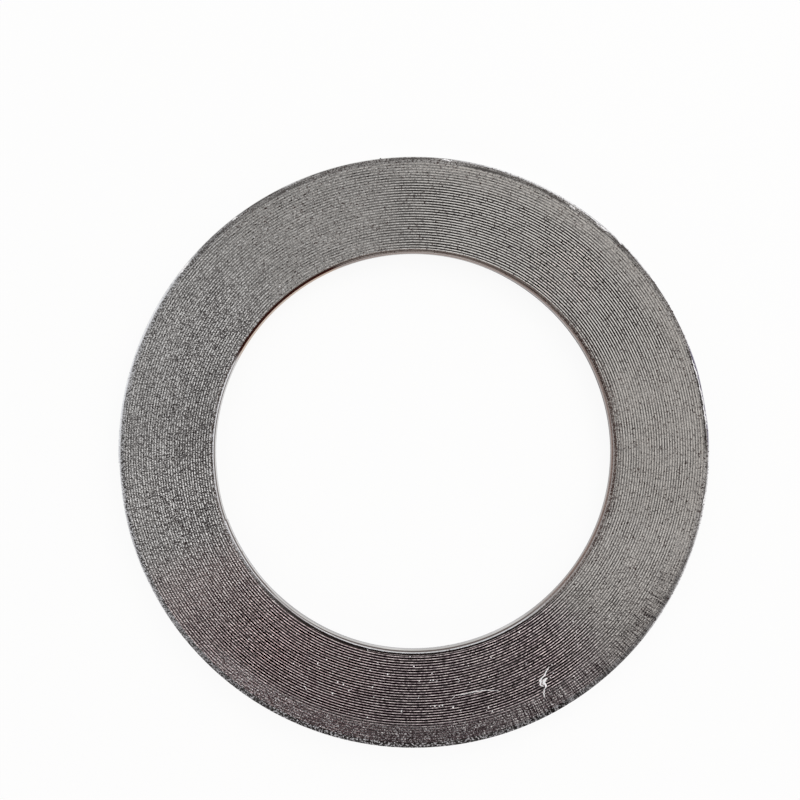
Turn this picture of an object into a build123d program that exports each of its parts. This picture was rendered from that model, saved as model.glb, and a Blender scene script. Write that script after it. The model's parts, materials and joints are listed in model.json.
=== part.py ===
"""Spiral wound gasket, basic type: a V-section metal strip wound with flexible graphite filler.

The winding lies flat with its axis along +Z. The origin is the centre of the bore, on the lower face.
Lengths are in millimetres.
"""

import os

from build123d import *

# Metal strip
strip_width = 4.5  # edge to edge, which is the thickness of the gasket
strip_gauge = 0.2  # the sheet that the strip is slit from
vee_height = 2.7  # the V between the two straight legs of the strip's section
vee_depth = 0.6  # how far the nose of the V stands out towards the rim

# Winding, from the bore to the rim
bore_diameter = 101.0  # clear bore at the legs of the first wrap
inner_plain_wraps = 3  # metal on metal, before the filler goes in
filled_turns = 34  # metal and filler together
filler_gauge = 0.45  # graphite between two turns, wound tight
outer_plain_wraps = 6  # metal on metal, after the filler ends

# Spiral crests on both faces of the filled turns
turns_per_crest = 4  # turns of strip that one turn of the crest stands for; 1 shows every turn
crest_drop = 0.02  # from the edges of the plain wraps down to the crests
hollow_drop = 0.3  # from the edges of the plain wraps down to the hollows between them
land_width = 0.65  # least width that stays plain beside the wraps, where the filler starts and ends

# Worked out from the sizes above
turn_pitch = strip_gauge + filler_gauge
bore_radius = bore_diameter / 2
filler_start_radius = bore_radius + inner_plain_wraps * strip_gauge
filler_end_radius = filler_start_radius + filled_turns * turn_pitch
rim_radius = filler_end_radius + outer_plain_wraps * strip_gauge
outside_diameter = 2 * (rim_radius + vee_depth)
crest_pitch = turns_per_crest * turn_pitch
crest_turns = int((filler_end_radius - filler_start_radius - 2 * land_width) / crest_pitch + 1e-6)
spiral_start_radius = (filler_start_radius + filler_end_radius - crest_turns * crest_pitch) / 2


def strip_side(radius):
    """Points up one side of the strip's section, from its lower edge to its upper edge."""
    middle = strip_width / 2
    return [
        (radius, 0),
        (radius, middle - vee_height / 2),
        (radius + vee_depth, middle),
        (radius, middle + vee_height / 2),
        (radius, strip_width),
    ]


def wound_outline(inner_radius, outer_radius):
    """Section of a band of turns, from the inner side of its first to the outer side of its last."""
    return strip_side(inner_radius) + strip_side(outer_radius)[::-1]


def hollows_outline(start_radius, hollow_count):
    """Section of what is missing from the upper face: hollows side by side, with crests between them."""
    floor = strip_width - hollow_drop
    crest = strip_width - crest_drop
    clear = strip_width + hollow_drop
    points = [(start_radius, clear), (start_radius, strip_width)]
    for hollow in range(hollow_count):
        radius = start_radius + hollow * crest_pitch
        points += [(radius + crest_pitch / 2, floor), (radius + crest_pitch, crest)]
    end_radius = start_radius + hollow_count * crest_pitch
    return points[:-1] + [(end_radius, strip_width), (end_radius, clear)]


# The first wraps, metal on metal, which make the wall of the bore
with BuildPart() as inner_metal_wraps:
    with BuildSketch(Plane.XZ):
        with BuildLine():
            Polyline(wound_outline(bore_radius, filler_start_radius), close=True)
        make_face()
    revolve(axis=Axis.Z)
inner_metal_wraps.part.label = "inner_metal_wraps"

# The filled turns, nested in the V of the plain wraps on either side
with BuildPart() as filled_winding:
    with BuildSketch(Plane.XZ):
        with BuildLine():
            Polyline(wound_outline(filler_start_radius, filler_end_radius), close=True)
        make_face()
    revolve(axis=Axis.Z)
    # The spiral is two half turns about two axes. Each half turn carries a crest half a pitch outwards
    # and hands it to the other, so the crests are one line wound from the bore to the rim.
    for side, lag in ((1, 0), (-1, crest_pitch / 2)):
        with BuildSketch(Plane((0, 0, 0), x_dir=(side, 0, 0), z_dir=(0, -side, 0))):
            with BuildLine():
                Polyline(hollows_outline(spiral_start_radius + lag, crest_turns - 1), close=True)
            make_face()
            mirror(about=Plane((0, strip_width / 2, 0), z_dir=(0, 1, 0)))
        half_turn_axis = Axis((-side * crest_pitch / 4, 0, 0), (0, 0, 1))
        revolve(axis=half_turn_axis, revolution_arc=180, mode=Mode.SUBTRACT)
filled_winding.part.label = "filled_winding"

# The last wraps, metal on metal, which make the rim
with BuildPart() as outer_metal_wraps:
    with BuildSketch(Plane.XZ):
        with BuildLine():
            Polyline(wound_outline(filler_end_radius, rim_radius), close=True)
        make_face()
    revolve(axis=Axis.Z)
outer_metal_wraps.part.label = "outer_metal_wraps"

os.makedirs("parts", exist_ok=True)
for piece in (inner_metal_wraps, filled_winding, outer_metal_wraps):
    export_step(piece.part, f"parts/{piece.part.label}.step")
print(f"outside diameter {outside_diameter:.2f} mm, {crest_turns} turns of the crest")
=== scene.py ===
import json
import math
import random
import bpy
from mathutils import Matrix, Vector, noise


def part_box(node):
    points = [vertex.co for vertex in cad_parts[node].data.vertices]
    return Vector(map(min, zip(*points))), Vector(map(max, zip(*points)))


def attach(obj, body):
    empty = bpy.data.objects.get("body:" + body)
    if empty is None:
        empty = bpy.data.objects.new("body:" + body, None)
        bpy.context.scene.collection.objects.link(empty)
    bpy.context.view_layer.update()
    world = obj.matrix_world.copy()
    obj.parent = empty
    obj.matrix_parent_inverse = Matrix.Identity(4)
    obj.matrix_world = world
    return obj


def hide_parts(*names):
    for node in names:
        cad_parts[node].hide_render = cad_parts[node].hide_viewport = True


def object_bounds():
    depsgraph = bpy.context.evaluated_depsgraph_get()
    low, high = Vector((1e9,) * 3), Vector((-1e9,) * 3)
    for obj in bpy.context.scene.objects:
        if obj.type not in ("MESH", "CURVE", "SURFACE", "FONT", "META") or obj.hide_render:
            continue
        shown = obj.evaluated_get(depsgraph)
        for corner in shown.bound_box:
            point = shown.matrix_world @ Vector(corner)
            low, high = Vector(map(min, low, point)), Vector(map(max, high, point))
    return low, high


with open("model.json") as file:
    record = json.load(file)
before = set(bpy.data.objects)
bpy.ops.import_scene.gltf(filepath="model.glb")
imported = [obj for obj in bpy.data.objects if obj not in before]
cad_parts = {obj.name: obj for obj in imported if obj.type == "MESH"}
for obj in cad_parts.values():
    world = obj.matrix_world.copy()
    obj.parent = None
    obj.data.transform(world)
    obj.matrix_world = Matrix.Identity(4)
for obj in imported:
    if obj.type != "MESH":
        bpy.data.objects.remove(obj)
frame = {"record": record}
cadLow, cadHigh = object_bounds()
print("frame loaded, box", [round(v, 5) for v in cadLow], [round(v, 5) for v in cadHigh])

mm = 0.001
boreMount = next(mount for mount in frame["record"]["mounts"] if mount["name"] == "bore")

# The winding, in millimetres from the bore's axis and from the lower face
winding = {
    "stripGauge": 0.2,
    "veeHeight": 2.7,
    "veeDepth": 0.6,
    "noseRound": 0.02,  # what the rounded nose of the V lacks of its full depth
    "innerPlainTurns": 3,
    "outerPlainTurns": 6,
    "filledTurns": 34,
    "endShort": 0.05,  # what the last turn lacks of a whole one
    "stepFrom": 0.955,  # how far round a turn the strip starts to step up over its own start
    "startAngle": 200,  # where the strip starts at the bore, in degrees
    "stepsPerTurn": 176,
    "sharpFrom": 22,  # degrees: sharper edges than this stay crisp
    "ripplesApart": 7.3,  # how far apart neighbouring turns lie in the noise that ripples them
}
thickness = (cadHigh.z - cadLow.z) / mm
middleHeight = thickness / 2
veeHalf = winding["veeHeight"] / 2
noseOut = winding["veeDepth"] - winding["noseRound"]
boreRadius = boreMount["dims"]["r_mm"]
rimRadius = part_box("outer_metal_wraps")[1].x / mm - winding["veeDepth"]
fillerStart = boreRadius + winding["innerPlainTurns"] * winding["stripGauge"]
fillerEnd = rimRadius - winding["outerPlainTurns"] * winding["stripGauge"]
turnPitch = (fillerEnd - fillerStart) / winding["filledTurns"]
filledFrom = winding["innerPlainTurns"]
filledUpTo = filledFrom + winding["filledTurns"]
stripTurns = filledUpTo + winding["outerPlainTurns"] - winding["endShort"]


def between(value, low, high):  # 0 below low, 1 above high, smooth in the middle
    t = min(max((value - low) / (high - low), 0), 1)
    return t * t * (3 - 2 * t)


def climb(turns):  # whole turns lie round; at the end of each the strip steps up over its start
    whole = math.floor(turns)
    return whole + between(turns - whole, winding["stepFrom"], 1)


def stripRadius(turn):  # inner side of the strip, that many turns after its start
    gauge = winding["stripGauge"]
    if turn <= filledFrom - 1:
        return boreRadius + gauge * climb(turn)
    if turn <= filledFrom:
        return boreRadius + gauge * turn
    spiral = fillerStart + turnPitch * (turn - filledFrom)
    if turn <= filledUpTo - 1:
        return spiral
    if turn <= filledUpTo:  # the filler runs out here
        stepUp = gauge * between(turn - filledUpTo + 1, winding["stepFrom"], 1)
        return min(spiral, fillerEnd - gauge) + stepUp
    return fillerEnd + gauge * climb(turn - filledUpTo)


def turnAngle(turn):
    return math.radians(winding["startAngle"]) + 2 * math.pi * turn


def nearAngle(angle, centre, half, feather):  # 1 within half degrees of centre
    off = abs((math.degrees(angle) - centre + 180) % 360 - 180)
    return 1 - between(off, half, half + feather)


def ripple(angle, turn, fineness, seed):  # smooth chance value about 0 that runs along the strip
    apart = turn * winding["ripplesApart"] + seed
    return noise.noise(Vector((math.cos(angle) * fineness, math.sin(angle) * fineness, apart)))


# How far the graphite is rubbed flush over the edges of the strip
rubbing = {
    "patches": [(130, 24, 24, 0.7), (349, 25, 20, 0.62)],  # centre, half, feather, amount
    "leftPatch": (176, 24, 27, 0.9),  # the same, but weaker towards the bore
    "leftFrom": (53, 68),  # from the first radius to the second it grows
    "leftLeast": 0.62,
    "rimPatches": [  # the same, then where it starts and is full, in mm inside the last filled turn
        (264, 30, 20, 0.9, 5.6, 3.0),
        (328, 13, 15, 0.9, 8.0, 2.5),
        (52, 60, 25, 0.8, 8.0, 0.2),
    ],
    "looseEdge": 0.35,  # how ragged the patches are
    "looseAnywhere": 0.3,  # share of that where nothing or all is rubbed
    "looseHalfway": 2.5,  # and how much it grows towards half rubbed
    "clumpSize": 4,
    "crumbSize": 1.3,
    "crumbShare": 0.6,
}


def rubbed(angle, radius):
    amount = max(nearAngle(angle, *place) * most for *place, most in rubbing["patches"])
    *place, most = rubbing["leftPatch"]
    least = rubbing["leftLeast"]
    towardsRim = least + (1 - least) * between(radius, *rubbing["leftFrom"])
    amount = max(amount, nearAngle(angle, *place) * most * towardsRim)
    for *place, most, startsAt, fullAt in rubbing["rimPatches"]:
        nearRim = between(radius, fillerEnd - startsAt, fillerEnd - fullAt)
        amount = max(amount, nearRim * most * nearAngle(angle, *place))
    spot = Vector((radius * math.cos(angle), radius * math.sin(angle), 0))
    crumbs = rubbing["crumbShare"] * noise.noise(spot / rubbing["crumbSize"])
    ragged = noise.noise(spot / rubbing["clumpSize"]) + crumbs
    looseness = rubbing["looseAnywhere"] + amount * (1 - amount) * rubbing["looseHalfway"]
    return min(max(amount + ragged * rubbing["looseEdge"] * looseness, 0), 1)


class Wire:  # one output of a node; sums on it add the Math nodes
    def __init__(self, tree, socket=None):
        self.tree = tree
        self.socket = socket

    def add(self, kind, settings=None, inputs=None, output=0):
        node = self.tree.nodes.new(kind)
        for name, value in (settings or {}).items():
            setattr(node, name, value)
        for name, value in (inputs or {}).items():
            if isinstance(value, Wire):
                self.tree.links.new(value.socket, node.inputs[name])
            else:
                node.inputs[name].default_value = value
        return Wire(self.tree, node.outputs[output] if node.outputs else None)

    def sum(self, operation, *values):
        return self.add("ShaderNodeMath", {"operation": operation}, dict(enumerate((self,) + values)))

    def turnedSum(self, operation, other):  # the same with this value last
        return self.add("ShaderNodeMath", {"operation": operation}, {0: other, 1: self})

    def __add__(self, other): return self.sum("ADD", other)
    def __radd__(self, other): return self.sum("ADD", other)
    def __sub__(self, other): return self.sum("SUBTRACT", other)
    def __rsub__(self, other): return self.turnedSum("SUBTRACT", other)
    def __mul__(self, other): return self.sum("MULTIPLY", other)
    def __rmul__(self, other): return self.sum("MULTIPLY", other)
    def __truediv__(self, other): return self.sum("DIVIDE", other)
    def __rtruediv__(self, other): return self.turnedSum("DIVIDE", other)

    def most(self, other): return self.sum("MAXIMUM", other)

    def step(self, low, high):  # 0 to 1 as this value goes from low to high
        inputs = {"Value": self, "From Min": low, "From Max": high}
        return self.add("ShaderNodeMapRange", {"interpolation_type": "SMOOTHSTEP"}, inputs)

    def tint(self, colourA, colourB):  # this value mixes colour A into colour B
        inputs = {0: self, 6: colourA, 7: colourB}
        return self.add("ShaderNodeMix", {"data_type": "RGBA"}, inputs, 2)


def colour(red, green, blue):
    return (red, green, blue, 1)


def layered(shade, layers):  # lays one colour over another, each as far as its mask says
    for mask, over in layers:
        shade = mask.tint(shade, over)
    return shade


def newFinish(name):
    material = bpy.data.materials.new(name)
    material.use_nodes = True
    material.node_tree.nodes.clear()
    return material, Wire(material.node_tree)


def endFinish(start, shade, metallic, roughness, relief, depth):  # depth of the relief in mm
    inputs = {"Strength": 1.0, "Distance": depth * mm, "Height": relief}
    bump = start.add("ShaderNodeBump", inputs=inputs)
    surface = start.add("ShaderNodeBsdfPrincipled", inputs={
        "Base Color": shade, "Metallic": metallic, "Roughness": roughness, "Normal": bump})
    start.add("ShaderNodeOutputMaterial", inputs={"Surface": surface})


def stripPlaces(start):  # the values that every finish on the winding starts from
    place = start.add("ShaderNodeTexCoord", output=3)
    split = start.add("ShaderNodeSeparateXYZ", inputs={0: place}).socket.node
    x, y, z = (Wire(start.tree, output) for output in split.outputs)
    radius = (x * x + y * y).sum("SQRT") / mm
    angle = y.sum("ARCTAN2", x)
    along, turn, flush = (
        start.add("ShaderNodeAttribute", {"attribute_name": name}, output=2)
        for name in ("alongStrip", "turnNumber", "rubbedFlush"))
    return place, radius, angle, z / mm, along, turn, flush


def arc(angle, centre, half, feather):  # mask: 1 within half degrees of centre
    towards = (angle - math.radians(centre)).sum("COSINE")
    return towards.step(math.cos(math.radians(half + feather)), math.cos(math.radians(half)))


def fromFace(height, starts, full):  # mask: 0 at starts mm from either face, 1 at full mm from it
    away = (height - middleHeight).sum("ABSOLUTE")
    return away.step(middleHeight - starts, middleHeight - full)


def lastTurns(turn, starts, full):  # mask, in turns before the end of the strip
    return turn.step(stripTurns - starts, stripTurns - full)


def grain(start, vector, scale, detail=2.0, roughness=0.55):
    inputs = {"Vector": vector, "Scale": scale, "Detail": detail, "Roughness": roughness}
    return start.add("ShaderNodeTexNoise", {"normalize": True}, inputs)


def drawnGrain(start, x, y, z, detail):  # grain that is drawn out along one of the values
    space = start.add("ShaderNodeCombineXYZ", inputs={0: x, 1: y, 2: z})
    return grain(start, space, 1.0, detail)


def stripGrain(start, along, turn, perMetre, perTurn, seed):
    return drawnGrain(start, along * perMetre, turn * perTurn, seed, 2.0)


wear = {  # arcs are centre, half and feather in degrees; reaches are radii in mm
    "speckSize": 0.29,  # mm, the grain of smeared graphite and dust
    "leftArc": (184, 34, 25),  # where the face is rough and specked
    "calmFrom": (62, 70),  # towards the rim it is less rough
    "calm": 0.32,
    "lowerArc": (249, 52, 20),  # where painted shade darkens it and painted highlights lie on its high spots: from one arc
    "lowerStart": (292, 40, 52),  # that comes in slowly on the left
    "boreLeftArc": (190, 32, 12),  # where painted shade darkens the bore at its upper corner
    "boreRightArc": (0, 42, 20),  # and where the first turns are blotched with painted shade
    "dimShadeArc": (135, 36, 22),  # where painted shade makes the graphite a little darker, and where it is grainy
    "dimShade": 0.31,
    "paintedLightArc": (325, 12, 14),  # and where painted light makes it paler
    "paintedLight": 0.12,
    "warmLightArc": (234, 16, 18),  # where painted light makes it a little brighter, and reddish
    "warmLight": 0.35,
    "highlightArcs": [(30, 32, 12), (145, 26, 10)],  # where painted highlights lie on the last turn in runs
    "rimHighlightArcs": [(20, 50, 16), (178, 28, 12)],  # where painted highlights lie on the last turns
    "darkRimArc": (28, 45, 20),  # where the rim is darker and bluish in places
    "shadedArc": (314, 20, 14),  # where the last turns are darker
    "shaded": 0.36,
    "tanReflectionArc": (35, 72, 25),  # where a tan reflection is painted on the bore wall
    "combArc": (312, 16, 14),  # scuffed from the rim inwards
    "combFrom": (67.5, 71.0),
    "combWidth": 0.3,
    "combLength": 4.0,
    "combSeed": 0.7,
    "clotScale": 2400,
    "dirtArc": (6, 30, 14),  # black marks beside the bore
    "dirtReach": (51.9, 53.4),
    "dirt": 0.6,
    "strayDirt": 0.9,  # the few black marks on the rest of the face
}


def wearPlaces(start, place, radius, angle):
    specks = grain(start, place, 1 / (wear["speckSize"] * mm), 1.0, 0.4)
    leftSide = arc(angle, *wear["leftArc"])
    lower = arc(angle, *wear["lowerArc"]) * arc(angle, *wear["lowerStart"])
    across = angle * (rimRadius / wear["combWidth"])
    comb = drawnGrain(start, across, radius / wear["combLength"], wear["combSeed"], 1.0)
    combed = arc(angle, *wear["combArc"]) * radius.step(*wear["combFrom"])
    clots = grain(start, place, wear["clotScale"], 1.0)
    dirtPlaces = arc(angle, *wear["dirtArc"]) * (1 - radius.step(*wear["dirtReach"]))
    dirt = dirtPlaces * (1 - clots.step(0.44, 0.54)) * wear["dirt"]
    strayDirt = (1 - leftSide) * (1 - lower) * (1 - clots.step(0.3, 0.4)) * wear["strayDirt"]
    return specks, leftSide, lower, comb, combed, dirt.most(strayDirt)


strip = {
    "gauge": 0.19,  # a hair under the pitch of the plain turns, so each turn shows
    "edgeCrown": 0.007,
    "plainInset": 0.03,  # edges of the plain turns below the face of the gasket
    "filledInset": 0.3,  # the filler stands proud of the edges between its turns
    "rubbedInset": 0.08,
    "sinkOver": (-0.1, 0.3),  # in turns from where the filler comes in
    "riseOver": 0.4,  # and before where it runs out
    "heightPlay": 0.03,
    "radiusPlay": 0.03,
    "sideRipple": (9, 0.5),  # fineness and seed
    "topRipple": (6, 3.1),
    "bottomRipple": (6, 8.7),
    "rimWaves": {  # bent edges of the last turns
        "arcs": [(54, 4, 3), (9, 6, 3)], "turns": 2.5, "depth": 0.16, "perTurn": 150,
    },
    "curledArc": (11, 8, 4),  # where the last turn is curled over
    "sunkTurns": (0.7, 0.28),  # how far the first turns are pushed down at the dark bore
    "sunkArc": (132, 17, 5),
    "sunkCorner": 0.05,  # how far the first turn is sunk all round
    "litCorner": (246, 50, 16, 0.03),  # where its edge is bevelled towards the bore, and how far
    "bulges": [(226, 12, 22, 0.08), (38, 15, 25, 0.15)],  # where it stands clear, and how far
    "bulgeFrom": 0.03,  # of a turn, over which the bulges come in
}


def stripSection(turn, angle):
    radius = stripRadius(turn)
    sinkFrom, sinkTo = strip["sinkOver"]
    filled = between(turn, filledFrom + sinkFrom, filledFrom + sinkTo)
    filled *= 1 - between(turn, filledUpTo - strip["riseOver"], filledUpTo)
    play = ripple(angle, turn, *strip["sideRipple"]) * strip["radiusPlay"] * filled
    rise = (strip["rubbedInset"] - strip["filledInset"]) * rubbed(angle, radius)
    sunk = strip["filledInset"] + rise
    inset = strip["plainInset"] + (sunk - strip["plainInset"]) * filled
    top = thickness - inset - strip["heightPlay"] * ripple(angle, turn, *strip["topRipple"])
    bottom = inset + strip["heightPlay"] * ripple(angle, turn, *strip["bottomRipple"])
    bevel = 0
    if turn < len(strip["sunkTurns"]):
        top -= strip["sunkTurns"][int(turn)] * nearAngle(angle, *strip["sunkArc"])
    if turn < 1:
        top -= strip["sunkCorner"]
        clear = max(nearAngle(angle, *place) * far for *place, far in strip["bulges"])
        play -= clear * between(turn, 0, strip["bulgeFrom"])
        *place, cut = strip["litCorner"]
        bevel = cut * nearAngle(angle, *place)
    top, bottom = min(top, thickness), max(bottom, 0)
    waves = strip["rimWaves"]
    if turn > stripTurns - waves["turns"]:
        bent = max(nearAngle(angle, *place) for place in waves["arcs"])
        lift = bent * between(turn, stripTurns - waves["turns"], stripTurns - 1)
        play -= waves["depth"] * lift * (0.5 + 0.5 * math.sin(angle * waves["perTurn"]))
    crown, gauge = strip["edgeCrown"], strip["gauge"]
    inner = radius + play
    outer = inner + gauge
    low, high = middleHeight - veeHalf, middleHeight + veeHalf
    return [
        (inner, bottom + crown), (radius, low), (radius + noseOut, middleHeight), (radius, high),
        (inner, top - crown - bevel), (inner + gauge / 2, top), (outer, top - crown),
        (radius + gauge, high), (radius + gauge + noseOut, middleHeight), (radius + gauge, low),
        (outer, bottom + crown), (inner + gauge / 2, bottom),
    ]


def windStrip(name, firstTurn, lastTurn, section):  # sweeps a section along the spiral
    steps = round((lastTurn - firstTurn) * winding["stepsPerTurn"])
    verts, faces, along, turns, flush = [], [], [], [], []
    length = 0
    for step in range(steps + 1):
        turn = firstTurn + (lastTurn - firstTurn) * step / steps
        angle = turnAngle(turn)
        points = section(turn, angle)
        for radius, height in points:
            spot = (radius * math.cos(angle), radius * math.sin(angle), height)
            verts.append(tuple(value * mm for value in spot))
            along.append(length)
            turns.append(turn)
            flush.append(rubbed(angle, radius))
        length += points[0][0] * mm * 2 * math.pi * (lastTurn - firstTurn) / steps
    count = len(points)
    for step in range(steps):
        here, there = step * count, (step + 1) * count
        for side in range(count):
            nextSide = (side + 1) % count
            faces.append((here + side, here + nextSide, there + nextSide, there + side))
    faces.append(tuple(range(count))[::-1])
    faces.append(tuple(range(steps * count, (steps + 1) * count)))
    mesh = bpy.data.meshes.new(name)
    mesh.from_pydata(verts, [], faces)
    mesh.shade_smooth()
    mesh.set_sharp_from_angle(angle=math.radians(winding["sharpFrom"]))
    for label, values in (("alongStrip", along), ("turnNumber", turns), ("rubbedFlush", flush)):
        mesh.attributes.new(label, "FLOAT", "POINT").data.foreach_set("value", values)
    mesh.update()
    piece = bpy.data.objects.new(name, mesh)
    bpy.context.collection.objects.link(piece)
    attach(piece, "root")
    print(name, len(mesh.polygons) * 2, "triangles or so,", round(length, 2), "m long")
    return piece


metalStrip = windStrip("metalStrip", 0, stripTurns, stripSection)
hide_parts("inner_metal_wraps", "outer_metal_wraps")

filler = {
    "startsBefore": 0.94,  # in turns, before the first filled one
    "endsBefore": 0.34,  # and before the plain turns at the rim
    "sideGap": 0.004,
    "leastWidth": 0.01,
    "crestWidth": 0.32,  # of the 0.45 between two turns; the pressed foil rounds off beside the strip
    "flushCrest": 0.44,  # its width where it is rubbed flush
    "widestCrest": 0.95,  # share of the room between two turns
    "crownShare": 0.42,  # share of the crest on either side that is near the full height
    "lowerArc": (276, 30, 30),  # where the crests are pressed narrower
    "lowerNarrowing": 0.045,
    "crestInset": 0.02,
    "sideDrop": 0.017,
    "flushSide": 0.7,  # how much of the drop goes where it is rubbed flush
    "grooveDepth": 0.3,
    "flushGroove": 0.8,
    "heightPlay": 0.03,
    "widthPlay": 0.05,
    "leftRipple": (16, 5.2),  # fineness and seed
    "rightRipple": (16, 9.9),
    "topRipple": (12, 2.4),
    "bottomRipple": (12, 6.6),
}


def fillerFace(turn, angle, flush, shape):  # from the face down to the crest, its side and the groove
    drop = filler["crestInset"] + filler["heightPlay"] * (0.5 + ripple(angle, turn, *shape))
    side = drop + filler["sideDrop"] * (1 - filler["flushSide"] * flush)
    return drop, side, drop + filler["grooveDepth"] * (1 - filler["flushGroove"] * flush)


def fillerSection(turn, angle):
    flush = rubbed(angle, stripRadius(turn))
    inner = stripRadius(turn) + winding["stripGauge"] + filler["sideGap"]
    outer = max(stripRadius(turn + 1) - filler["sideGap"], inner + filler["leastWidth"])
    width = outer - inner
    narrowing = filler["lowerNarrowing"] * nearAngle(angle, *filler["lowerArc"])
    narrow = filler["crestWidth"] - narrowing
    crest = min(narrow + (filler["flushCrest"] - narrow) * flush, width * filler["widestCrest"])
    spare = (width - crest) / 2
    leftSide = inner + spare + filler["widthPlay"] * ripple(angle, turn, *filler["leftRipple"])
    rightSide = outer - spare + filler["widthPlay"] * ripple(angle, turn, *filler["rightRipple"])
    leftSide, rightSide = max(leftSide, inner), min(rightSide, outer)
    centre = (leftSide + rightSide) / 2
    crown = (rightSide - leftSide) * filler["crownShare"]
    drop, side, groove = fillerFace(turn, angle, flush, filler["topRipple"])
    lowDrop, lowSide, lowGroove = fillerFace(turn, angle, flush, filler["bottomRipple"])
    low, high = middleHeight - veeHalf, middleHeight + veeHalf
    return [
        (inner, low), (inner + noseOut, middleHeight), (inner, high),
        (leftSide, thickness - groove), (centre - crown, thickness - side),
        (centre, thickness - drop),
        (centre + crown, thickness - side), (rightSide, thickness - groove),
        (outer, high), (outer + noseOut, middleHeight), (outer, low),
        (rightSide, lowGroove), (centre + crown, lowSide), (centre, lowDrop),
        (centre - crown, lowSide), (leftSide, lowGroove),
    ]


fillerFirst, fillerLast = filledFrom - filler["startsBefore"], filledUpTo - filler["endsBefore"]
graphiteFiller = windStrip("graphiteFiller", fillerFirst, fillerLast, fillerSection)
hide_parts("filled_winding")

welds = {
    "bore": [201.5, 206, 210.5, 222],  # where spot welds hold the first turn, in degrees
    "boreReach": (51.0, 51.3),
    "rim": [168, 172.5, 177, 180.5],  # and the last turn
    "rimReach": (73.9, 74.1),
    "height": 2.95,  # on the upper slope of the V, and mirrored on the lower one
    "size": 1.1,
    "outerEdge": (1.25, 0.95),  # of the ring round a weld, in weld sizes
    "innerEdge": (0.5, 0.9),
    "inside": 0.45,
}


def weldMarks(angle, radius, height):  # 1 at the rings of the welds, less inside them
    marked = None
    side = (height - middleHeight).sum("ABSOLUTE") + middleHeight - welds["height"]
    onBore = 1 - radius.step(*welds["boreReach"])
    onRim = radius.step(*welds["rimReach"])
    for places, there in ((welds["bore"], onBore), (welds["rim"], onRim)):
        for place in places:
            turned = angle - math.radians(place)
            reach = turned.sum("SINE") * radius
            away = (reach * reach + side * side).sum("SQRT") / (welds["size"] / 2)
            within = welds["inside"] + away.step(*welds["innerEdge"]) * (1 - welds["inside"])
            ring = away.step(*welds["outerEdge"]) * within
            ring = ring * there * turned.sum("COSINE").step(0, 0.1)  # on this side of the bore only
            marked = ring if marked is None else marked.most(ring)
    return marked


steel = {
    "clean": colour(0.70, 0.69, 0.68),
    "dull": colour(0.50, 0.49, 0.48),
    "edge": colour(0.085, 0.08, 0.078),  # slit edges of the plain turns, grey with graphite
    "brightEdge": colour(0.45, 0.44, 0.435),  # where they are rubbed clean
    "highlightEdge": colour(0.85, 0.86, 0.90),  # painted highlight, bluish white, on the last turns and in glints elsewhere
    "boreEdge": colour(0.19, 0.155, 0.14),  # the first turns, darker and brownish
    # dark brown painted shade: the bore's upper corner, the deep of the V, and blotches on the first
    # turns and the wall at the right
    "boreCornerShade": colour(0.07, 0.045, 0.04),
    # tan painted reflection on the bore wall
    "boreTanReflection": colour(0.24, 0.165, 0.14),
    "boreShade": colour(0.16, 0.14, 0.15),
    # near white: painted highlight on the lower slope of the V on the left
    "hollow": colour(0.96, 0.96, 0.95),
    # tan painted reflection on the wall below the sunk turns
    "sunkTanReflection": colour(0.55, 0.40, 0.30),
    # near black painted shade on the sunk turns
    "sunkShade": colour(0.05, 0.012, 0.008),
    "weld": colour(0.16, 0.11, 0.085),
    "rust": colour(0.035, 0.014, 0.013),
    "flank": colour(0.10, 0.085, 0.13),  # outside of the rim, darker and bluish in places
    "fringe": colour(0.06, 0.05, 0.13),  # bluish dark outer edge beside the curled one
    "shadedSunkEdge": colour(0.014, 0.011, 0.011),  # between the turns of filler: near black painted shade in their narrow grooves
    "smearedEdge": colour(0.40, 0.395, 0.39),
    # graphite smeared over the edges, painted darker as shade in the dark lower stretch
    "shadedSmear": colour(0.10, 0.075, 0.08),
    # near black: painted shade in gaps, at the rim and in the dark lower stretch, and the black of
    # scuffs and grain
    "gap": colour(0.004, 0.003, 0.003),
    "roughness": 0.27,
    "roughPlay": 0.2,
    "relief": 0.05,  # mm
    "streaks": (60, 0.8, 3.7),  # per metre along the strip, per mm up it, per turn
    "beads": (1500, 5.3, 0.4),  # per metre, per turn, seed
    "runs": (70, 9.1, 2.6),
    "coarseScale": 2000,
    "edgeBand": (0.6, 0.4),  # mm from either face, where the edges' colours start and are full
    "firstTurn": (0.9, 1.1),  # in turns from the start: past the first
    "firstTurns": (3.1, 4.5),
    "nextTurns": (2.9, 3.2),
    "fillerIn": (2.9, 3.3),
    "fillerOut": (36.6, 36.9),
    "lastTurn": (1.3, 0.9),  # in turns before the end
    "nextToLast": (2.3, 1.9),
    "outermost": (1.75, 1.65),
    "insideFrom": (4.75, 4.65),  # the dark turns beside the curled one
    "insideTo": (2.75, 2.65),
    "darkTurnFrom": (2.4, 2.2),
    "darkTurnTo": (1.4, 1.2),
    "boreWall": (50.85, 51.05),  # radii up to which it is the wall of the bore
    "boreCornerWall": (50.9, 51.0),
    "hollowWall": (51.2, 51.4),
    "hollowFrom": (0.9, 1.2),  # heights in the hollow of the V
    "hollowTo": (2.6, 2.8),
    "deepFrom": (1.42, 1.6),
    "lowLegTo": (0.7, 1.0),
    "tanFrom": (0.7, 1.3),
    "blotchedFrom": (1.1, 1.6),
    "sunkShadeFrom": (3.3, 3.7),
    "cornerFrom": (3.5, 3.7),
    "cornerTo": (4.28, 4.36),
    "rimFlank": (74.42, 74.5),  # radii and heights of the rim's nose, as seen from above
    "flankFrom": (2.0, 2.4),
}


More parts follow.
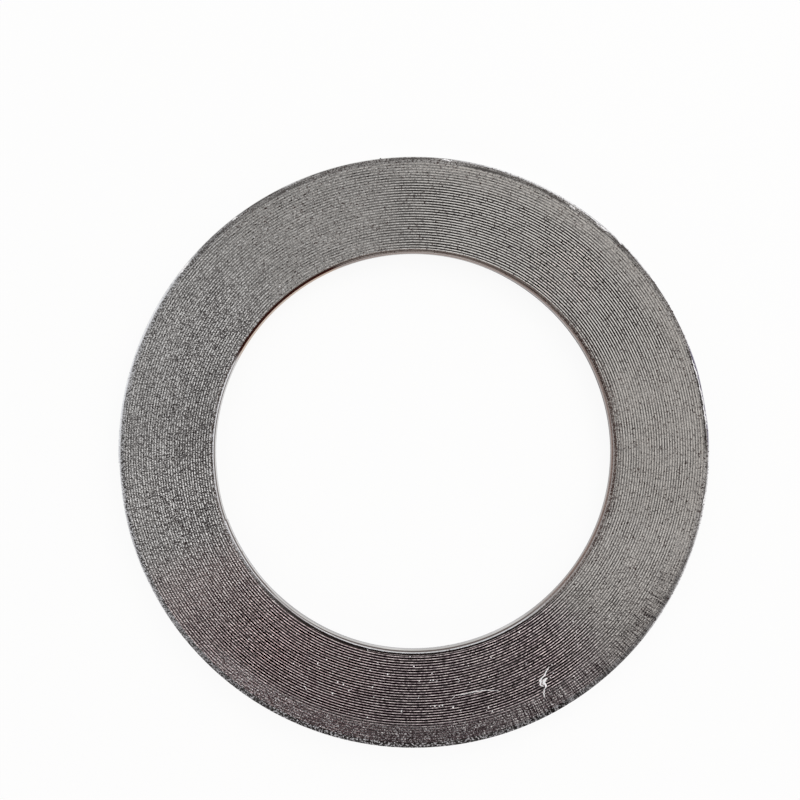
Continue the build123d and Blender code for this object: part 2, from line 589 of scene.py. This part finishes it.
def stainlessFinish():
    material, start = newFinish("rolledStainless")
    place, radius, angle, height, along, turn, flush = stripPlaces(start)
    specks, leftSide, lower, comb, combed, dirt = wearPlaces(start, place, radius, angle)
    perMetre, perHeight, perTurn = steel["streaks"]
    streaks = drawnGrain(start, along * perMetre, height * perHeight, turn * perTurn, 3.0)
    beads = stripGrain(start, along, turn, *steel["beads"])
    runs = stripGrain(start, along, turn, *steel["runs"])
    coarse = grain(start, place, steel["coarseScale"], 1.0)
    grains = 1 - specks.step(0.42, 0.56)
    boreLeft = arc(angle, *wear["boreLeftArc"])
    boreRight = arc(angle, *wear["boreRightArc"])
    lowerLeft = lower.most(boreLeft)
    darkRim = arc(angle, *wear["darkRimArc"])
    curled = arc(angle, *strip["curledArc"])
    pastFirst = turn.step(*steel["firstTurn"])
    firstTurn = 1 - pastFirst
    firstTurns = 1 - turn.step(*steel["firstTurns"])
    lastTurn = lastTurns(turn, *steel["lastTurn"])

    # slit edges of the plain turns
    # rubbed clean in runs, less so at the first turns and in the dark lower stretch, where shade is
    # painted
    wornAndShaded = runs.step(0.36, 0.6) * specks.step(0.36, 0.56) * (1 - lower * 0.75) * (1 - firstTurns * 0.7)
    plainEdge = wornAndShaded.tint(firstTurns.tint(steel["edge"], steel["boreEdge"]), steel["brightEdge"])
    highlightA, highlightB = (arc(angle, *place) for place in wear["highlightArcs"])
    lastTurnHighlights = lastTurn * highlightA.most(highlightB) * runs.step(0.35, 0.55) * beads.step(0.3, 0.5)
    onRim = lower * (1 - firstTurns)
    dimShade = arc(angle, *wear["dimShadeArc"]) * (1 - firstTurns) * wear["dimShade"]
    paintedLight = arc(angle, *wear["paintedLightArc"]) * wear["paintedLight"]
    shaded = arc(angle, *wear["shadedArc"]) * (1 - firstTurns) * wear["shaded"]
    nextTurns = lower * 0.9 * (1 - turn.step(*steel["nextTurns"]))
    nextToLast = lastTurns(turn, *steel["nextToLast"])
    outermost = lastTurns(turn, *steel["outermost"])
    inside = lastTurns(turn, *steel["insideFrom"]) - lastTurns(turn, *steel["insideTo"])
    darkTurnTo = 1 - lastTurns(turn, *steel["darkTurnTo"])
    darkTurn = lastTurns(turn, *steel["darkTurnFrom"]) * darkTurnTo
    rimHighlightA, rimHighlightB = (arc(angle, *place) for place in wear["rimHighlightArcs"])
    rimHighlight = rimHighlightA.most(rimHighlightB) * (1 - curled * 0.7)
    plainEdge = layered(plainEdge, [
        (lastTurnHighlights, steel["highlightEdge"]),
        (leftSide * specks.step(0.5, 0.62) * 0.65, steel["highlightEdge"]),
        (leftSide * (1 - specks.step(0.36, 0.5)) * 0.5, steel["gap"]),
        # painted shade and painted glints on the plain turns in the dark lower stretch
        (onRim * (1 - coarse.step(0.40, 0.48)) * 0.65, steel["gap"]),
        (onRim * coarse.step(0.52, 0.60), steel["highlightEdge"]),
        # painted shade: darker plain edges in that arc
        (dimShade, steel["edge"]),
        # painted light: paler plain edges
        (paintedLight, steel["highlightEdge"]),
        (shaded, steel["gap"]),
        (combed * (1 - comb.step(0.38, 0.54)) * 0.6, steel["gap"]),
        (combed * lower * comb.step(0.56, 0.68) * 0.5, steel["highlightEdge"]),
        # painted shade on the second and third turns in the dark lower stretch
        (pastFirst * nextTurns, steel["gap"]),
        (lowerLeft * firstTurn * beads.step(0.2, 0.42), steel["highlightEdge"]),
        (curled * outermost * 0.9, steel["fringe"]),
        (curled * inside * 0.75, steel["gap"]),
        (boreRight * firstTurns * grains * 0.7, steel["boreCornerShade"]),
        (boreRight * firstTurns * specks.step(0.52, 0.62) * 0.6, steel["brightEdge"]),
        (darkTurn * darkRim * runs.step(0.36, 0.5) * 0.3, steel["gap"]),
        # painted highlights on the last two turns
        (nextToLast * rimHighlight * runs.step(0.36, 0.56) * 0.45, steel["highlightEdge"]),
        (lastTurn * rimHighlight * (0.5 + 0.5 * beads.step(0.3, 0.5)), steel["highlightEdge"]),
    ])

    # edges between the turns of filler: painted shade in their grooves, lighter where graphite smears
    # over them
    shows = (beads.step(0.52, 0.68) * 0.35).most(runs.step(0.5, 0.68) * 0.15)
    smeared = flush * beads.step(0.25, 0.5) * (1 - leftSide * (1 - specks.step(0.35, 0.6)))
    # less of it in the dark lower stretch, as painted shade
    shows = shows.most(smeared) * (1 - lower * 0.5)
    shadedSmear = specks.step(0.53, 0.6).tint(steel["shadedSmear"], steel["highlightEdge"])
    shadedSunkEdge = layered(shows.tint(steel["shadedSunkEdge"], steel["smearedEdge"]), [
        # painted shade in the dark lower stretch, with painted glints where rubbed flush
        (lower * (1 - flush) * 0.7, steel["gap"]),
        (lower * flush * 0.8, shadedSmear),
        (combed * (1 - comb.step(0.36, 0.52)), steel["gap"]),
    ])

    # wall of the bore, nose of the rim, and the rest
    onBore = 1 - radius.step(*steel["boreWall"])
    onHollow = 1 - radius.step(*steel["hollowWall"])
    hollowTo = 1 - height.step(*steel["hollowTo"])
    flank = radius.step(*steel["rimFlank"]) * height.step(*steel["flankFrom"])
    filled = turn.step(*steel["fillerIn"]) * (1 - turn.step(*steel["fillerOut"]))
    atEdge = fromFace(height, *steel["edgeBand"])
    weld = weldMarks(angle, radius, height)
    # tan painted reflection on the bore wall
    tan = onBore * arc(angle, *wear["tanReflectionArc"]) * height.step(*steel["tanFrom"])
    blotched = onBore * boreRight * height.step(*steel["blotchedFrom"])
    lowLeg = onBore * (1 - height.step(*steel["lowLegTo"]))
    # painted highlight on the lower slope of the V on the left
    hollow = height.step(*steel["hollowFrom"]) * hollowTo * boreLeft * 0.85 * onHollow
    # painted shade in the deepest part of the V
    deep = (height + boreLeft * 0.3).step(*steel["deepFrom"]) * onHollow * hollowTo
    # painted shade along the bore's upper corner: strong on the left and at the bottom, weak on the
    # right
    corner = (0.1 + 0.4 * (1 - runs.step(0.38, 0.58))).most(lowerLeft * 0.85) * (1 - boreRight * 0.8)
    cornerFoot = (height + lower * 0.25).most(height + boreLeft * 0.8)  # lower down on the left
    corner = onBore * cornerFoot.step(*steel["cornerFrom"]) * corner
    corner = corner * (1 - lowerLeft * height.step(*steel["cornerTo"]))
    sunk = arc(angle, *strip["sunkArc"]) * (1 - radius.step(*steel["boreCornerWall"]))
    sunkShadeHigh = height.step(*steel["sunkShadeFrom"])
    shade = layered(streaks.step(0.35, 0.7).tint(steel["dull"], steel["clean"]), [
        (tan * 0.9, steel["boreTanReflection"]),
        (blotched * (0.2 + grains * 0.65), steel["boreCornerShade"]),
        (flank * darkRim * (0.2 + 0.45 * runs.step(0.3, 0.62)), steel["flank"]),
        # painted shade on the rim's nose in the dark lower stretch
        (flank * lower * (1 - specks.step(0.4, 0.6)) * 0.8, steel["gap"]),
        (flank * shaded, steel["gap"]),
        (weld * 0.8, steel["weld"]),
        (atEdge, filled.tint(plainEdge, shadedSunkEdge)),
        (dirt * atEdge, steel["rust"]),
        (lowLeg * (0.5 - 0.2 * boreLeft), steel["boreShade"]),
        (hollow, steel["hollow"]),
        (corner, steel["boreCornerShade"]),
        (deep * lowerLeft * 0.9, steel["boreCornerShade"]),
        # painted shade on the sunk turns, and a tan painted reflection below them
        (sunk * sunkShadeHigh, steel["sunkShade"]),
        (sunk * (1 - sunkShadeHigh) * 0.7, steel["sunkTanReflection"]),
    ])
    rough = steel["roughness"] + (streaks - 0.5) * steel["roughPlay"]
    relief = streaks + beads * atEdge + specks * atEdge * leftSide.most(lower) - weld * 2
    endFinish(start, shade, 1.0, rough, relief, steel["relief"])
    return material


metalStrip.data.materials.append(stainlessFinish())

foil = {
    "base": colour(0.63, 0.62, 0.605),
    "dark": colour(0.12, 0.115, 0.115),
    # near black: painted shade in the dark lower stretch, and dark grain and scuffs elsewhere
    "soot": colour(0.03, 0.017, 0.021),
    "smooth": colour(0.43, 0.41, 0.39),  # where the graphite is smeared flat
    # for the dark lower stretch: a pinkish base, smeared graphite painted darker as shade, and painted
    # highlights
    "lowerBase": colour(0.70, 0.60, 0.63),
    "shadedLowerSmooth": colour(0.21, 0.155, 0.165),
    "lowerHighlight": colour(0.97, 0.87, 0.88),
    # reddish painted light
    "warmLight": colour(0.97, 0.74, 0.73),
    # painted highlights and glints
    "highlightWhite": colour(0.92, 0.91, 0.91),
    # near black painted shade on the sides of the grooves
    "groove": colour(0.006, 0.005, 0.005),
    "rust": colour(0.035, 0.014, 0.013),
    "metallic": 0.95,
    "roughness": 0.2,
    "roughPlay": 0.12,
    "patchScale": 90,
    "lowerPolish": 0.08,
    "lowerCalm": 0.7,  # how much less grain the dark stretch has
    "grainSize": 0.8,
    "grainRelief": 0.10,
    "pitSize": 0.48,
    "dullScale": 600,
    "beads": (1200, 5.3, 6.1),  # per metre along the strip, per turn, seed
    "grooveBand": (0.2, 0.08),  # mm from either face, where the groove ends
}


def graphiteFinish():
    material, start = newFinish("pressedGraphite")
    place, radius, angle, height, along, turn, flush = stripPlaces(start)
    specks, leftSide, lower, comb, combed, dirt = wearPlaces(start, place, radius, angle)
    fine = grain(start, place, 1 / (foil["grainSize"] * mm), 2.0)
    pits = grain(start, place, 1 / (foil["pitSize"] * mm), 1.0)
    patches = grain(start, place, foil["patchScale"], 3.0)
    dullSpots = grain(start, place, foil["dullScale"], 2.0)
    beads = stripGrain(start, along, turn, *foil["beads"])
    dimShade, paintedLight, warmLight = (arc(angle, *wear[name]) for name in ("dimShadeArc", "paintedLightArc", "warmLightArc"))
    smooth = flush * (1 - leftSide)
    rougher = leftSide * (1 - radius.step(*wear["calmFrom"]) * wear["calm"])
    ridged, smeared = lower * (1 - flush), lower * flush
    inGroove = 1 - fromFace(height, *foil["grooveBand"])
    base = lower.tint(foil["base"], foil["lowerBase"])
    shade = layered(fine.step(0.2, 0.45).tint(foil["dark"], base), [
        (smooth, lower.tint(foil["smooth"], foil["shadedLowerSmooth"])),
        (smooth * (1 - pits.step(0.34, 0.5)) * 0.62, foil["dark"]),
        ((1 - specks.step(0.32, 0.5)) * (0.25 + 0.25 * flush), foil["dark"]),
        (dimShade * 0.35 * (1 - specks.step(0.34, 0.5)), foil["dark"]),
        (dimShade * specks.step(0.56, 0.66) * 0.5, foil["highlightWhite"]),
        (rougher * (1 - specks.step(0.41, 0.53)) * 0.96, foil["soot"]),
        (rougher * specks.step(0.50, 0.58), foil["highlightWhite"]),
        # painted light: paler graphite
        (paintedLight * wear["paintedLight"], foil["highlightWhite"]),
        # painted light: brighter and reddish, with less painted shade below
        (warmLight * wear["warmLight"], foil["warmLight"]),
        # the dark lower stretch: painted shade on the ridges and in dull spots, painted highlights in
        # beads along the strip
        (ridged * (1 - beads.step(0.32, 0.5)) * (0.6 - warmLight * 0.15), foil["soot"]),
        (ridged * beads.step(0.49, 0.61), foil["lowerHighlight"]),
        (lower * (1 - dullSpots.step(0.34, 0.5)) * (0.3 - warmLight * 0.2), foil["soot"]),
        (smeared * (1 - specks.step(0.38, 0.48)) * 0.5, foil["soot"]),
        (smeared * specks.step(0.54, 0.61), foil["highlightWhite"]),
        # painted shade: darker graphite in that arc
        (dimShade * wear["dimShade"], foil["dark"]),
        (dirt, foil["rust"]),
        (combed * (1 - comb.step(0.38, 0.54)) * 0.6, foil["soot"]),
        (combed * lower * comb.step(0.56, 0.68) * 0.6, foil["highlightWhite"]),
        # painted shade in the grooves
        (inGroove, foil["groove"]),
    ])
    polish = lower * foil["lowerPolish"]
    rough = foil["roughness"] + (patches - 0.5) * foil["roughPlay"] - polish
    relief = (fine + pits * flush * 0.8) * (1 - lower * foil["lowerCalm"]) + specks * leftSide * 0.8
    relief = relief + beads * lower * 0.3 + comb * combed * 0.8
    endFinish(start, shade, foil["metallic"], rough, relief, foil["grainRelief"])
    return material


graphiteFiller.data.materials.append(graphiteFinish())
print("finishes on")

marks = {
    "scrapes": [  # paths across the upper face and their width, in mm
        ([(34.1, -54.0), (33.5, -55.1), (32.9, -56.2), (32.1, -57.2)], 0.34),
        ([(32.3, -56.8), (31.8, -57.8), (31.9, -58.4), (32.6, -59.0)], 0.6),
        ([(33.7, -56.8), (33.0, -57.3), (32.4, -58.1)], 0.6),
        ([(32.5, -57.1), (32.9, -58.0), (33.3, -58.9), (33.2, -59.5)], 0.42),
        ([(33.3, -59.0), (32.8, -59.9), (32.8, -60.6), (32.9, -61.6)], 0.32),
        ([(9.3, -62.4), (10.5, -61.2), (12.5, -60.9), (15.4, -60.3), (18.3, -59.9), (21.3, -60.0)], 0.2),
        ([(10.5, -57.2), (11.2, -57.0), (11.5, -57.5), (11.1, -58.0)], 0.18),
        ([(-27.9, -58.9), (-27.2, -59.2), (-27.1, -59.9)], 0.2),
    ],
    "scrapeStep": 0.14,  # mm along a scrape from one row of points to the next
    "ragged": 0.5,
    "raggedGrow": 1.6,  # how much more of that its width has than its course
    "raggedPerMm": 3.1,
    "swayPerMm": 1.7,
    "endWidth": 0.25,  # of the full width
    "rise": 0.035,
    "fall": 0.09,  # from the top of a ridge to its foot, on the crests
    "rimFall": 0.035,  # and on the plain turns, which stand higher
    "below": 0.002,  # how far every mark stays below the plain face
    "rimCurls": [  # from and to, in degrees, and radius
        (57.8, 56.4, 73.5), (51.6, 48.6, 73.9), (46, 45, 74.1),
        (18.5, 13.5, 73.85), (14, 9.2, 73.9), (9.8, 4.6, 73.9),
        (352, 349.5, 74.1), (84.5, 82.5, 74.1), (128, 126.8, 74.1), (143, 139.5, 74.15),
    ],
    "rimCurlWidth": 0.36,
    "rimCurlStep": 0.5,  # degrees
    "rimCurlWaves": [(0.07, 190), (0.05, 77)],  # mm, waves per radian
    "flecks": [
        (0, -53.9), (-6.6, -55.9), (-10.4, -59.2), (1.4, -57.6), (4.2, -57.4), (4.9, -57.4),
        (1.2, -61.9), (4.2, -63.9), (5.3, -63.9), (6.4, -63.9), (7.2, -63.7), (9.9, -64.2),
        (19.8, -65.2), (18.8, -64.2), (-3.1, -65.2), (-19.1, -57.8), (-17.7, -58.4),
        (-16.4, -60.0), (-20.5, -60.7), (-11.0, -54.9), (-11.7, -66.7), (-24.2, -53.1),
        (-23.7, -54.5), (-28.5, 48.9), (32.3, -57.6), (32.6, -58.3), (33.0, -57.6), (32.7, -57.9),
    ],
    "fleckSize": (0.28, 0.5),
    "fleckGrow": 1.4,
    "looseFlecks": 120,
    "looseGrow": 0.85,
    "looseLower": (268, 42),  # two in three lie about there, in degrees
    "looseLeft": (100, 230),  # and one in three between these
    "rimClear": 0.5,
    "seed": 5,
    "chipSides": (5, 7),
    "chipLevels": ((1.0, 0.09), (0.9, 0.012)),  # width of its foot and top, and how far down
    "chipTilt": 0.02,
    "soot": [
        (-8.4, 74.0, 0.5), (50.7, 53.3, 0.45), (60.9, 5.6, 0.5), (61.3, 4.6, 0.35), (57.0, 12.5, 0.35),
    ],
    # the scrapes and flecks are real marks; their matt white is a painted highlight of bare steel
    "bright": (colour(0.88, 0.88, 0.9), colour(0.98, 0.98, 1.0)),
    "brightRough": 0.5,
    "dark": (colour(0.01, 0.008, 0.008), colour(0.04, 0.03, 0.03)),
    "darkRough": 0.6,
    "mottleScale": 4000,
    "relief": 0.03,
}


def ridge(verts, faces, path, width, fall):  # a low rounded ridge along a path, thinner at its ends
    lengths = [0]
    for (xa, ya), (xb, yb) in zip(path, path[1:]):
        lengths.append(lengths[-1] + math.hypot(xb - xa, yb - ya))
    count = max(round(lengths[-1] / marks["scrapeStep"]), 3)
    ragged = marks["ragged"]
    rows = []
    for step in range(count + 1):
        far = lengths[-1] * step / count
        leg = max(i for i in range(len(path) - 1) if lengths[i] <= far + 1e-9)
        share = (far - lengths[leg]) / (lengths[leg + 1] - lengths[leg])
        (xa, ya), (xb, yb) = path[leg], path[leg + 1]
        x, y = xa + (xb - xa) * share, ya + (yb - ya) * share
        size = math.hypot(xb - xa, yb - ya)
        acrossX, acrossY = -(yb - ya) / size, (xb - xa) / size
        chance = noise.noise(Vector((x * marks["raggedPerMm"], y * marks["raggedPerMm"], width)))
        sway = noise.noise(Vector((x * marks["swayPerMm"], y * marks["swayPerMm"], 9))) * width * ragged
        swelling = math.sin(math.pi * (step + 0.3) / (count + 0.6))
        taper = marks["endWidth"] + (1 - marks["endWidth"]) * swelling
        half = width / 2 * (1 + chance * ragged * marks["raggedGrow"]) * taper
        top = thickness - marks["below"] - marks["rise"] * 0.5 * abs(chance)
        shoulder, foot = top - fall / 6, top - fall
        rows.append(len(verts))
        for side, height in ((-1, foot), (-0.6, shoulder), (0, top), (0.6, shoulder), (1, foot)):
            offset = sway + side * half
            spot = (x + acrossX * offset, y + acrossY * offset, height)
            verts.append(tuple(value * mm for value in spot))
    for here, there in zip(rows, rows[1:]):
        for side in range(4):
            faces.append((here + side, there + side, there + side + 1, here + side + 1))
        faces.append((here + 4, there + 4, there, here))
    faces.append(tuple(range(rows[0], rows[0] + 5)))
    faces.append(tuple(range(rows[-1], rows[-1] + 5))[::-1])


def chip(verts, faces, x, y, size, chance):  # a flake lying on the face, tilted a little
    sides, first = chance.randint(*marks["chipSides"]), len(verts)
    lean = chance.uniform(0, 2 * math.pi)
    for level, (grow, drop) in enumerate(marks["chipLevels"]):
        for side in range(sides):
            turned = 2 * math.pi * side / sides
            reach = size / 2 * grow * (0.75 + 0.5 * noise.noise(Vector((x, y, side * 1.9))))
            fall = drop + marks["chipTilt"] * level * (1 + math.cos(turned - lean))
            height = thickness - marks["below"] - fall
            spot = (x + reach * math.cos(turned), y + reach * math.sin(turned), height)
            verts.append(tuple(value * mm for value in spot))
    for side in range(sides):
        after = (side + 1) % sides
        faces.append((first + side, first + after, first + sides + after, first + sides + side))
    faces.append(tuple(range(first + sides, first + 2 * sides)))
    faces.append(tuple(range(first, first + sides))[::-1])


def makePiece(name, verts, faces):
    mesh = bpy.data.meshes.new(name)
    mesh.from_pydata(verts, [], faces)
    mesh.update()
    piece = bpy.data.objects.new(name, mesh)
    bpy.context.collection.objects.link(piece)
    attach(piece, "root")
    print(name, len(mesh.polygons), "faces")
    return piece


def rimCurl(angleFrom, angleTo, radius):  # a wavy path round the rim
    steps = max(round(abs(angleFrom - angleTo) / marks["rimCurlStep"]), 2)
    path = []
    for step in range(steps + 1):
        angle = math.radians(angleFrom + (angleTo - angleFrom) * step / steps)
        wavy = radius
        for depth, perRadian in marks["rimCurlWaves"]:
            wavy += depth * math.sin(angle * perRadian)
        path.append((wavy * math.cos(angle), wavy * math.sin(angle)))
    return path


def makeMarks():
    chance = random.Random(marks["seed"])
    verts, faces = [], []
    for path, width in marks["scrapes"]:
        ridge(verts, faces, path, width, marks["fall"])
    for curl in marks["rimCurls"]:
        ridge(verts, faces, rimCurl(*curl), marks["rimCurlWidth"], marks["rimFall"])
    for x, y in marks["flecks"]:
        chip(verts, faces, x, y, chance.uniform(*marks["fleckSize"]) * marks["fleckGrow"], chance)
    for fleck in range(marks["looseFlecks"]):
        lower = fleck % 3
        turned = chance.gauss(*marks["looseLower"]) if lower else chance.uniform(*marks["looseLeft"])
        angle = math.radians(turned)
        radius = chance.uniform(fillerStart, rimRadius - marks["rimClear"])
        size = chance.uniform(*marks["fleckSize"]) * marks["looseGrow"]
        chip(verts, faces, radius * math.cos(angle), radius * math.sin(angle), size, chance)
    bright = makePiece("scrapesAndFlecks", verts, faces)
    verts, faces = [], []
    for x, y, size in marks["soot"]:
        chip(verts, faces, x, y, size, chance)
    dark = makePiece("graphiteFlakes", verts, faces)
    return bright, dark


def markFinish(name, shadeA, shadeB, roughness):
    material, start = newFinish(name)
    place = start.add("ShaderNodeTexCoord", output=3)
    mottle = grain(start, place, marks["mottleScale"], 2.0)
    shade = mottle.step(0.35, 0.65).tint(shadeA, shadeB)
    endFinish(start, shade, 0.0, roughness, mottle, marks["relief"])
    return material


brightMarks, darkMarks = makeMarks()
brightMarks.data.materials.append(markFinish("whiteGlintMarks", *marks["bright"], marks["brightRough"]))
darkMarks.data.materials.append(markFinish("looseGraphite", *marks["dark"], marks["darkRough"]))

studio = {
    "floorSize": 3.0,
    "floorColour": colour(0.94, 0.94, 0.94),
    "floorWhite": 0.9,  # how much of the floor that the camera sees is plain white
    "worldLevel": 1.1,
    "brightWay": (0.13, 0.99, 0.0),
    "brightLeft": colour(0.89, 0.895, 0.89),
    "brightRight": colour(1.0, 0.97, 0.94),
    "brightOver": (-0.25, 0.25),  # from the one to the other
    "darkSide": colour(0.035, 0.014, 0.02),
    "darkFrom": (-0.33, -0.21),
    "darkTo": (-0.85, -0.65),
    "darkAbove": (0.35, 0.6),  # the dark part of the room is its ceiling; its walls are white all round
    "panelPlace": (0.35, 0.5, 0.4),
    "panelAim": (0.0, 0.0, 0.0),
    "panelSize": 0.3,
    "panelWatts": 0.8,
}


def seenDirectly(start):  # 1 for what the camera, metal and glass see
    rays = start.add("ShaderNodeLightPath").socket.node.outputs
    names = ("Is Camera Ray", "Is Glossy Ray", "Is Transmission Ray")
    eye, glossy, through = (Wire(start.tree, rays[name]) for name in names)
    return eye.most(glossy).most(through)


def makeFloor():
    half = studio["floorSize"] / 2
    corners = [(-half, -half, 0), (half, -half, 0), (half, half, 0), (-half, half, 0)]
    mesh = bpy.data.meshes.new("floor")
    mesh.from_pydata(corners, [], [(0, 1, 2, 3)])
    floor = bpy.data.objects.new("floor", mesh)
    floor.location.z = cadLow.z
    bpy.context.collection.objects.link(floor)
    material, start = newFinish("paleFloor")
    matt = start.add("ShaderNodeBsdfDiffuse", inputs={"Color": studio["floorColour"]})
    white = start.add("ShaderNodeEmission", inputs={"Color": colour(1, 1, 1), "Strength": 1.0})
    share = seenDirectly(start) * studio["floorWhite"]
    mixed = start.add("ShaderNodeMixShader", inputs={0: share, 1: matt, 2: white})
    start.add("ShaderNodeOutputMaterial", inputs={"Surface": mixed})
    floor.data.materials.append(material)


def makeLight():
    world = bpy.data.worlds.new("softRoom")
    bpy.context.scene.world = world
    world.use_nodes = True
    world.node_tree.nodes.clear()
    start = Wire(world.node_tree)
    direction = start.add("ShaderNodeTexCoord", output=0)
    inputs = {0: direction, 1: studio["brightWay"]}
    towards = start.add("ShaderNodeVectorMath", {"operation": "DOT_PRODUCT"}, inputs, 1)
    split = start.add("ShaderNodeSeparateXYZ", inputs={0: direction}).socket.node
    across, upwards = Wire(start.tree, split.outputs[0]), Wire(start.tree, split.outputs[2])
    lit = towards.step(*studio["darkFrom"]).most(1 - towards.step(*studio["darkTo"]))
    lit = lit.most(1 - upwards.step(*studio["darkAbove"]))
    bright = across.step(*studio["brightOver"]).tint(studio["brightLeft"], studio["brightRight"])
    soft = lit.tint(studio["darkSide"], bright)
    inputs = {"Color": soft, "Strength": studio["worldLevel"]}
    room = start.add("ShaderNodeBackground", inputs=inputs)
    start.add("ShaderNodeOutputWorld", inputs={"Surface": room})
    panel = bpy.data.lights.new("softPanel", "AREA")
    panel.shape = "SQUARE"
    panel.size = studio["panelSize"]
    panel.energy = studio["panelWatts"]
    lamp = bpy.data.objects.new("softPanel", panel)
    lamp.location = studio["panelPlace"]
    aim = Vector(studio["panelAim"]) - lamp.location
    lamp.rotation_euler = aim.to_track_quat("-Z", "Y").to_euler()
    bpy.context.collection.objects.link(lamp)


camera = {
    "place": (-9.56, 19.39, 257.0),  # straight above, a little up and left of the middle
    "lens": 45.12,
    "shift": (0.0302, -0.0307),
    "nearest": 0.01,
}


def makeCamera():
    data = bpy.data.cameras.new("camera")
    data.lens = camera["lens"]
    data.shift_x, data.shift_y = camera["shift"]
    data.clip_start = camera["nearest"]
    eye = bpy.data.objects.new("camera", data)
    eye.location = Vector(camera["place"]) * mm
    bpy.context.collection.objects.link(eye)
    bpy.context.scene.camera = eye


makeFloor()
makeLight()
makeCamera()
bpy.context.scene.view_settings.view_transform = "Standard"
print("floor, light and camera set")
